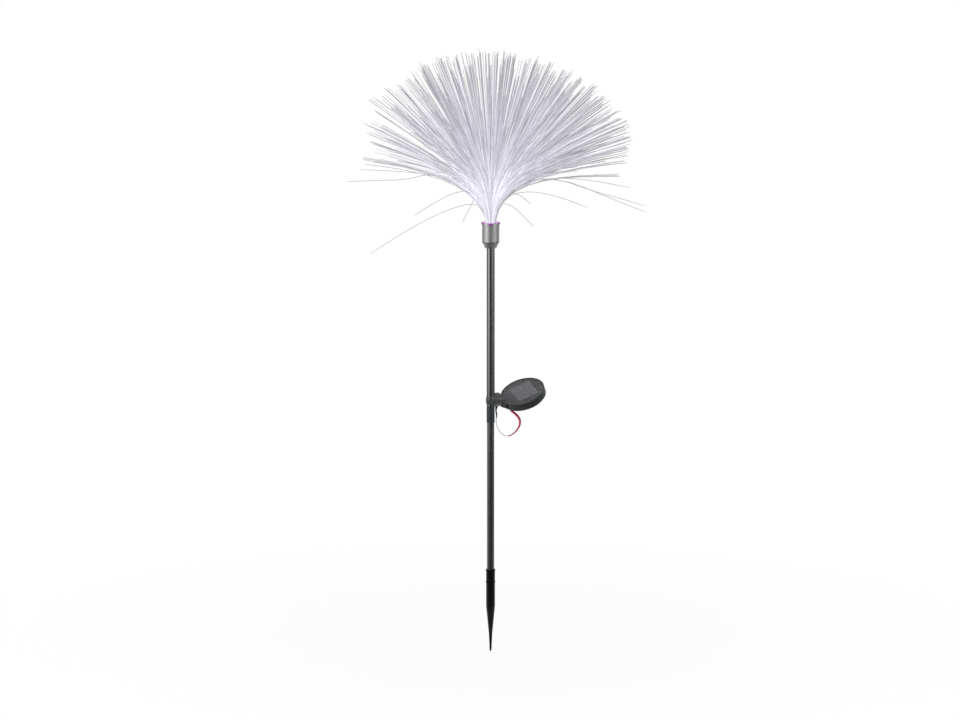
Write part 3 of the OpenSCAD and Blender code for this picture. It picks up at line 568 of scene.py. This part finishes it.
def smooth_line(points, count):
    """Points at even steps on a smooth curve through the given ones, and the curve's length."""
    spots = [Vector(p) for p in points]
    spots = [spots[0] * 2 - spots[1], *spots, spots[-1] * 2 - spots[-2]]
    fine = []
    for i in range(1, len(spots) - 2):
        a, b, c, d = spots[i - 1:i + 3]
        for k in range(CURVE_STEPS):
            t = k / CURVE_STEPS
            fine.append(0.5 * (2 * b + (c - a) * t + (2 * a - 5 * b + 4 * c - d) * t * t
                               + (3 * b - a - 3 * c + d) * t ** 3))
    fine.append(spots[-2])
    marks = [0.0]
    for a, b in zip(fine, fine[1:]):
        marks.append(marks[-1] + (b - a).length)
    even, k = [], 0
    for i in range(count):
        want = marks[-1] * i / (count - 1)
        while k < len(marks) - 2 and marks[k + 1] < want:
            k += 1
        step = marks[k + 1] - marks[k]
        even.append(fine[k].lerp(fine[k + 1], (want - marks[k]) / step if step else 0.0))
    return even, marks[-1]


# Route of the lead in millimetres, as in the part's source
LEAD_LOOP = [
    (29.2, 23, 226.6), (33, 22, 223.6), (36.9, 20.8, 219.6), (38.9, 19.5, 214.4), (38.1, 18.5, 208.4),
    (34.6, 17.7, 202.4), (29.6, 16.9, 197.7), (23.9, 16.2, 195.1), (18.4, 15.4, 196), (13.6, 14.5, 199.7),
    (9.8, 13.4, 205.4), (7.8, 12.3, 211.9), (7.4, 11.1, 218.3), (7.9, 9.8, 224.5),
]


def mouth(name, way):
    """The middle of a node's face that lies furthest along a way."""
    flat = 0.00001
    spots = [v.co.copy() for v in NODES[name].data.vertices]
    far = max(s.dot(way) for s in spots)
    face = [s for s in spots if far - s.dot(way) < flat]
    return sum(face, Vector()) / len(face)


def lead_ends():
    """Mouths of the panel's gland and of the yoke's boot, each with the way the lead leaves it."""
    gland_way = -panel_axes()[2]
    arm = Vector(ROLL_JOINT["axis"]).normalized()
    boot_way = -arm.cross(-Vector(PANEL_JOINT["axis"])).normalized()
    return mouth("panel_gland", gland_way), gland_way, mouth("wire_boot", boot_way), boot_way


# Stray fibres that the photo's view shows, in millimetres aside from the root and above it
STRAYS = [
    [(-6, 8), (-14, 22), (-27, 26), (-66, 13), (-112, -12), (-158, -42)],
    [(-7, 10), (-17, 30), (-27, 42), (-48, 40), (-75, 26), (-100, 10)],
    [(-4, 14), (-13, 34), (-19, 36), (-28, 20), (-38, 0)],
    [(6, 8), (11, 22), (17, 27), (30, 22), (45, 8), (57, -4)],
    [(7, 12), (18, 30), (31, 40), (42, 35), (53, 26)],
    [(7, 12), (18, 32), (32, 40), (60, 42), (95, 34), (128, 22)],
    [(7, 12), (20, 36), (48, 54), (84, 61), (130, 59), (184, 50)],
    [(7, 12), (20, 36), (48, 56), (84, 60), (115, 52), (133, 45.5), (167, 36.6), (205, 26)],
    [(7, 12), (20, 36), (50, 57), (95, 58), (130, 47), (155, 37), (205, 18)],
    [(-7, 12), (-20, 38), (-50, 60), (-85, 64), (-112, 58), (-150, 56.6), (-188, 55)],
    [(-7, 14), (-18, 38), (-54, 60), (-110, 69), (-172, 73)],
]


# Finishes of the fibres, each with its step in the brightness of their painted light, and the slot of the
# dull ones after them
BRIGHT = (("lit_fibre_bright", 1), ("lit_fibre", 0), ("lit_fibre_dim", -1))
DULL = len(BRIGHT)

# Seeds of the draws and of the noise that gathers the locks
DRAW_SEED = 41
NOISE_SEED = 7

# The dome's edge, as a share of the bundle's radius, and the most degrees that locks past it lean further
EDGE = 0.985
EDGE_DROOP = 9

# Leans to the side, in degrees, from which fibres get shorter and locks fewer, and over which they do
SHORT_FROM_RIGHT = 70
SHORT_FROM_LEFT = 57
SHORT_OVER = 16
THIN_FROM = 34
THIN_OVER = 26

# The dull fibres, whose dull colour is painted shade at the dome's sides: a share of those near the edge that
# point to either side, by the cosine of their turn
OUTER = 0.93
SIDEWAYS = 0.75
DULL_SHARE = 0.4

# How single locks, fibres and strays differ, in shares of the whole, radians and degrees of sag
LOCK_REACH = (1.0, 1.0, 0.99, 0.98, 0.96)
LOCK_FIBRES = (2, 3, 3, 4)
FIBRE_REACH = (0.965, 1.0)
FIBRE_BEND = (0.95, 1.06)
FIBRE_SAG = (0, 2.5)
FIBRE_STEPS = 10
ROOT_TURN = 0.05
ROOT_SHIFT = 0.03
LEAN_SHIFT = 0.009
LEAST_SHARE = 0.15
MOST_SHARE = 0.99
GATHER_SCALE = 7.0
STRAY_DEPTH = (-0.5, 0.5)
STRAY_STEPS = 12


def fibre_path(root, turn, far, length, bend, steps, sag):
    """A fibre that leaves its root upwards and leans out to a final angle."""
    out = Vector((math.cos(turn), math.sin(turn), 0))
    spot = root.copy()
    path = [spot.copy()]
    marks = [length * (k / steps) ** 1.5 for k in range(steps + 1)]
    for low, high in zip(marks, marks[1:]):
        s = (low + high) / 2
        lean = far * (1 - math.exp(-s / bend)) + sag * (s / length) ** 2
        spot = spot + (high - low) * (out * math.sin(lean) + Vector((0, 0, math.cos(lean))))
        path.append(spot.copy())
    return path


class GARDENLIGHT_OT_stage(bpy.types.Operator):
    """Makes the floor, the light and the camera at the photo's view"""

    bl_idname = "gardenlight.stage"
    bl_label = "Stage"

    def execute(self, context):
        scene = context.scene
        scene.view_settings.view_transform = "Standard"
        self.make_camera(scene, scene.garden_light.stage)
        self.make_floor(scene)
        scene.world = bpy.data.worlds.new("studio")
        studio_light(scene.world)
        self.make_lamps(scene)
        return {"FINISHED"}

    @staticmethod
    def make_camera(scene, s):
        data = bpy.data.cameras.new("view")
        cam = bpy.data.objects.new("view", data)
        scene.collection.objects.link(cam)
        aim = Vector((s.aside, 0, s.middle))
        back = Vector((0, -math.cos(s.elevation), math.sin(s.elevation)))
        cam.location = aim + back * s.distance
        cam.rotation_euler = (-back).to_track_quat("-Z", "Y").to_euler()
        data.sensor_width = 36.0
        data.lens = data.sensor_width * s.distance / (PICTURE_WIDTH * s.scale)
        data.clip_end = 100.0
        scene.camera = cam

    @staticmethod
    def make_floor(scene):
        below = 0.5 * MM
        disc = bmesh.new()
        bmesh.ops.create_circle(disc, cap_ends=True, segments=96, radius=0.9)
        bmesh.ops.translate(disc, verts=disc.verts[:], vec=(0, 0, CAD_LOW.z - below))
        mesh = bpy.data.meshes.new("floor")
        disc.to_mesh(mesh)
        disc.free()
        mesh.materials.append(pale_floor("floor_pale"))
        floor = bpy.data.objects.new("floor", mesh)
        scene.collection.objects.link(floor)

    @staticmethod
    def make_lamps(scene):
        # Name, place, aim, width, height and power in watts
        lamps = [
            ("left_box", (-1.14, -0.74, 0.62), (0.0, 0.0, 0.45), 1.4, 1.2, 11.0),
            ("right_box", (1.12, -0.80, 0.74), (0.0, 0.0, 0.45), 1.3, 1.2, 7.6),
            ("top_box", (0.1, 0.3, 2.0), (0.0, 0.0, 0.3), 1.2, 1.2, 9.0),
        ]
        for name, place, aim, width, height, power in lamps:
            data = bpy.data.lights.new(name, "AREA")
            data.shape = "RECTANGLE"
            data.size, data.size_y, data.energy = width, height, power
            lamp = bpy.data.objects.new(name, data)
            lamp.location = place
            lamp.rotation_euler = (Vector(aim) - Vector(place)).to_track_quat("-Z", "Y").to_euler()
            scene.collection.objects.link(lamp)


class GARDENLIGHT_OT_lead(bpy.types.Operator):
    """Makes the lead between the panel and the yoke: a grey wire in a red and a black sleeve, the black one
    painted shade where the wire runs under the yoke
    """

    bl_idname = "gardenlight.lead"
    bl_label = "Solar lead"

    # Points along the lead, and where the sleeves taper: a share of the red one, points of the black one
    STEPS = 96
    RED_TAPER = 0.75
    BLACK_TAPER = 6

    # Widths of the black sleeve and of a sleeve's thin end, in widths of the wire
    BLACK_WIDTH = 1.5
    SNUG = 1.06

    def execute(self, context):
        s = context.scene.garden_light.lead
        gland, gland_way, boot, boot_way = lead_ends()
        straight = 2.2 * MM
        route = [gland, gland + gland_way * straight, *[Vector(p) * MM for p in LEAD_LOOP],
                 boot + boot_way * straight, boot]
        line, length = smooth_line(route, self.STEPS)
        last = len(line) - 1
        covered = round(last * s.covered)
        capped = round(last * s.capped)
        wire = [(p, s.wire / 2) for p in line]
        red = self.sleeve(line[:covered + 1], s.sleeve, s.wire, round(covered * self.RED_TAPER))
        # The black sleeve at the yoke is painted shade where the wire runs under it
        black = self.sleeve(line[:last - capped - 1:-1], s.wire * self.BLACK_WIDTH, s.wire, self.BLACK_TAPER)
        mesh = tube_mesh("solar_lead_sleeved", (wire, red, black), (0, 1, 2), roundness=4)
        lead = add_piece("solar_lead_sleeved", mesh, insulation("insulation_grey", s.grey),
                         insulation("sleeve_red", s.red), insulation("sleeve_black_painted_shade", s.black))
        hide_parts("solar_lead")
        tuple(boot)
        tuple(gland)
        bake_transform(lead)
        tuple(gland)
        return {"FINISHED"}

    def sleeve(self, line, full, wire, taper):
        """A sleeve along a line that tapers onto the wire over its last points."""
        last = len(line) - 1
        end = wire * self.SNUG
        tube = []
        for k, p in enumerate(line):
            t = min(1.0, (last - k) / taper)
            tube.append((p, (end + (full - end) * t * t * (3 - 2 * t)) / 2))
        return tube


class GARDENLIGHT_OT_plume(bpy.types.Operator):
    """Makes the plume of light fibres"""

    bl_idname = "gardenlight.plume"
    bl_label = "Fibre plume"

    def execute(self, context):
        s = context.scene.garden_light.plume
        draw = random.Random(DRAW_SEED)
        noise.seed_set(NOISE_SEED)
        sunk = 1.2 * MM
        foot = RIM_Z - sunk
        lines, slots = [], []
        for i in range(s.locks):
            share = math.sqrt((i + 0.5) / s.locks)
            for path in self.lock(s, draw, i, share, foot):
                lines.append(self.tapered(path, s.thickness))
                # Dull fibres at the dome's sides are painted shade
                outer = share > OUTER and abs(math.cos(i * GOLDEN_ANGLE)) > SIDEWAYS
                slots.append(DULL if outer and draw.random() < DULL_SHARE else draw.randrange(len(BRIGHT)))
        stray_thickness = 0.9 * s.thickness
        for marks in STRAYS:
            lines.append(self.tapered(self.stray(draw, marks, foot), stray_thickness))
            slots.append(DULL)
        lit = [fibre_painted_light(name, s, (0, 0, foot), 1 + step * s.spread) for name, step in BRIGHT]
        plume = add_piece("fibre_plume_dome", tube_mesh("fibre_plume_dome", lines, slots),
                          *lit, dull_and_shaded_fibre("dull_and_shaded_fibre", s.dull))
        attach(plume, "stand")
        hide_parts("fibre_plume")
        return {"FINISHED"}

    def lock(self, s, draw, i, share, foot):
        """The paths of one lock's fibres, which leave the bundle side by side and keep together."""
        turn = i * GOLDEN_ANGLE
        far = 2 * math.asin(min(1.0, share / EDGE) * math.sin(s.dome / 2))
        if share > EDGE:
            far += math.radians(draw.uniform(0, EDGE_DROOP))
        far, lean_turn = self.gathered(s, far, turn)
        aside = far * math.cos(lean_turn)
        short_from = SHORT_FROM_RIGHT if aside > 0 else SHORT_FROM_LEFT
        low = (abs(aside) - math.radians(short_from)) / math.radians(SHORT_OVER)
        low = min(1.0, max(0.0, low))
        thin = (-aside - math.radians(THIN_FROM)) / math.radians(THIN_OVER)
        if draw.random() < s.thin * min(1.0, thin):
            return
        reach = s.length * (1 - s.short * low) * draw.choice(LOCK_REACH)
        for _ in range(draw.choice(LOCK_FIBRES)):
            root_turn = turn + draw.gauss(0, ROOT_TURN) / max(share, LEAST_SHARE)
            root_far = s.bundle * min(MOST_SHARE, abs(share + draw.gauss(0, ROOT_SHIFT)))
            root = Vector((root_far * math.cos(root_turn), root_far * math.sin(root_turn), foot))
            yield fibre_path(
                root, lean_turn + draw.gauss(0, LEAN_SHIFT) / max(share, LEAST_SHARE),
                far + draw.gauss(0, LEAN_SHIFT), reach * draw.uniform(*FIBRE_REACH),
                s.bend * draw.uniform(*FIBRE_BEND), FIBRE_STEPS,
                math.radians(draw.uniform(*FIBRE_SAG)) * share)

    @staticmethod
    def gathered(s, far, turn):
        """A lock's lean and turn, drawn towards its neighbours and out of the parting."""
        aim = Vector((math.sin(far) * math.cos(turn), math.sin(far) * math.sin(turn), math.cos(far)))
        aim += noise.noise_vector(aim * GATHER_SCALE) * s.gather
        lean = math.atan2(aim.x, aim.z)
        off = lean - s.parting
        if abs(off) < 2 * s.parted:
            lean = s.parting + math.copysign(s.parted + abs(off) / 2, off)
            size = math.hypot(aim.x, aim.z)
            aim.x, aim.z = size * math.sin(lean), size * math.cos(lean)
        return aim.angle(Vector((0, 0, 1))), math.atan2(aim.y, aim.x)

    @staticmethod
    def stray(draw, marks, foot):
        """A stray fibre through its marks, some way to the front or the back."""
        depth = draw.uniform(*STRAY_DEPTH)
        rise = math.tan(VIEW_ELEVATION)
        root_depth = 4
        spots = [(marks[0][0] / 4, 0, -root_depth)]
        spots += [(x, x * depth, z - x * depth * rise) for x, z in marks]
        path, _ = smooth_line(spots, STRAY_STEPS)
        return [Vector((0, 0, foot)) + p * MM for p in path]

    @staticmethod
    def tapered(path, thickness):
        """A path with the radius at each point, which is smaller at the tip."""
        radius = thickness / 2
        tip = radius * 0.75
        return [*((p, radius) for p in path[:-1]), (path[-1], tip)]


class GARDENLIGHT_OT_pole(bpy.types.Operator):
    """Finishes the pole, its coupler and the ground spike"""

    bl_idname = "gardenlight.pole"
    bl_label = "Pole and spike"

    def execute(self, context):
        s = context.scene.garden_light.finish
        tube = lacquered("gunmetal_lacquer", s.pole, 0.28, metallic=0.95)
        dress(tube, "upper_tube", "lower_tube")
        # The coupler's matte slate is partly painted reflection: it stands for the pole's reflection of the
        # panel just below the clip
        dress(moulded("coupler_slate_reflection", COUPLER_SLATE_REFLECTION, 0.30), "tube_coupler")
        dress(moulded("spike_black", s.spike, 0.28, grain=700.0, relief=0.00003, gloss=0.25), "ground_spike")
        dress(insulation("lamp_lead_red", LAMP_LEAD_RED), "lamp_lead")
        return {"FINISHED"}


class GARDENLIGHT_OT_head(bpy.types.Operator):
    """Finishes the cup, the cone and what is inside them"""

    bl_idname = "gardenlight.head"
    bl_label = "Lamp head"

    def execute(self, context):
        s = context.scene.garden_light.finish
        dress(brushed("cup_steel", s.steel, 0.41, line_scale=(1.0, 1.0, 0.02), metallic=0.72), "lamp_cup")
        dress(lacquered("cone_lacquer", s.cone, 0.25, metallic=0.75, streak=False), "cone_adapter")
        dress(rubbery("seal_black", SEAL_BLACK), "cup_seal", "panel_gasket")
        dress(circuit_board("board_green"), "lamp_board", "control_board")
        dress(glowing("emitter_lens", LENS_WHITE, 3.0), "led_emitter")
        dress(moulded("reflector_white", REFLECTOR_WHITE, 0.25), "led_reflector")
        dress(moulded("ferrule_black", FERRULE_BLACK, 0.45), "fibre_ferrule", "switch_body")
        dress(glowing("glow_purple", s.lamp, 0.8, own=0.25), "glow_ring")
        return {"FINISHED"}


class GARDENLIGHT_OT_panel(bpy.types.Operator):
    """Finishes the solar panel and its bracket"""

    bl_idname = "gardenlight.panel"
    bl_label = "Solar panel"

    def execute(self, context):
        s = context.scene.garden_light.finish
        # The bracket takes the case's plastic painted 2.2 times lighter, as painted light that lifts the
        # shade the pole and panel cast on it
        dress(moulded("bracket_painted_light", shade(s.case, 2.2), 0.3), "pole_clip", "neck_yoke")
        dress(moulded("case_grey", s.case, 0.36), "panel_base", "panel_bezel")
        dress(moulded("tray_grey", TRAY_GREY), "cell_tray")
        middle = node_middle("solar_cell")
        dress(cell_face("cell_silicon", s.cell, middle, panel_turn(s.cell_turn), s.cell_width, s.cell_length),
              "solar_cell")
        dress(cast_window("window_resin", WINDOW_TINT), "cell_window")
        dress(brushed("fastener_steel", SCREW_STEEL, 0.35), "housing_screws")
        dress(brushed("hinge_black_steel", HINGE_STEEL, 0.4, metallic=0.5), "hinge_screw", "hinge_nut")
        dress(rubbery("boot_black", BOOT_BLACK), "wire_boot", "panel_gland")
        dress(moulded("holder_natural", HOLDER_CREAM), "battery_holder")
        dress(brushed("battery_can", BATTERY_METAL, 0.3), "battery_cell")
        dress(rubbery("button_grey", BUTTON_GREY), "power_button")
        return {"FINISHED"}


class GARDENLIGHT_PT_panel(bpy.types.Panel):
    """Lists the steps that dress the light"""

    bl_idname = "GARDENLIGHT_PT_panel"
    bl_label = "Garden Light"
    bl_space_type = "VIEW_3D"
    bl_region_type = "UI"
    bl_category = "Garden Light"

    def draw(self, context):
        for step in STEPS:
            self.layout.operator(step.bl_idname)
        for group in ("plume", "lead", "finish", "stage"):
            settings = getattr(context.scene.garden_light, group)
            box = self.layout.box()
            for name in settings.__annotations__:
                box.prop(settings, name)


STEPS = (GARDENLIGHT_OT_stage, GARDENLIGHT_OT_lead, GARDENLIGHT_OT_plume, GARDENLIGHT_OT_pole,
         GARDENLIGHT_OT_head, GARDENLIGHT_OT_panel)
CLASSES = (PlumeSettings, LeadSettings, FinishSettings, StageSettings, LightSettings, *STEPS,
           GARDENLIGHT_PT_panel)


def register():
    for cls in CLASSES:
        bpy.utils.register_class(cls)
    bpy.types.Scene.garden_light = PointerProperty(type=LightSettings)


def unregister():
    del bpy.types.Scene.garden_light
    for cls in reversed(CLASSES):
        bpy.utils.unregister_class(cls)


def main():
    register()
    bpy.ops.gardenlight.stage()
    bpy.ops.gardenlight.lead()
    bpy.ops.gardenlight.plume()
    bpy.ops.gardenlight.pole()
    bpy.ops.gardenlight.head()
    bpy.ops.gardenlight.panel()


if __name__ == "__main__":
    main()
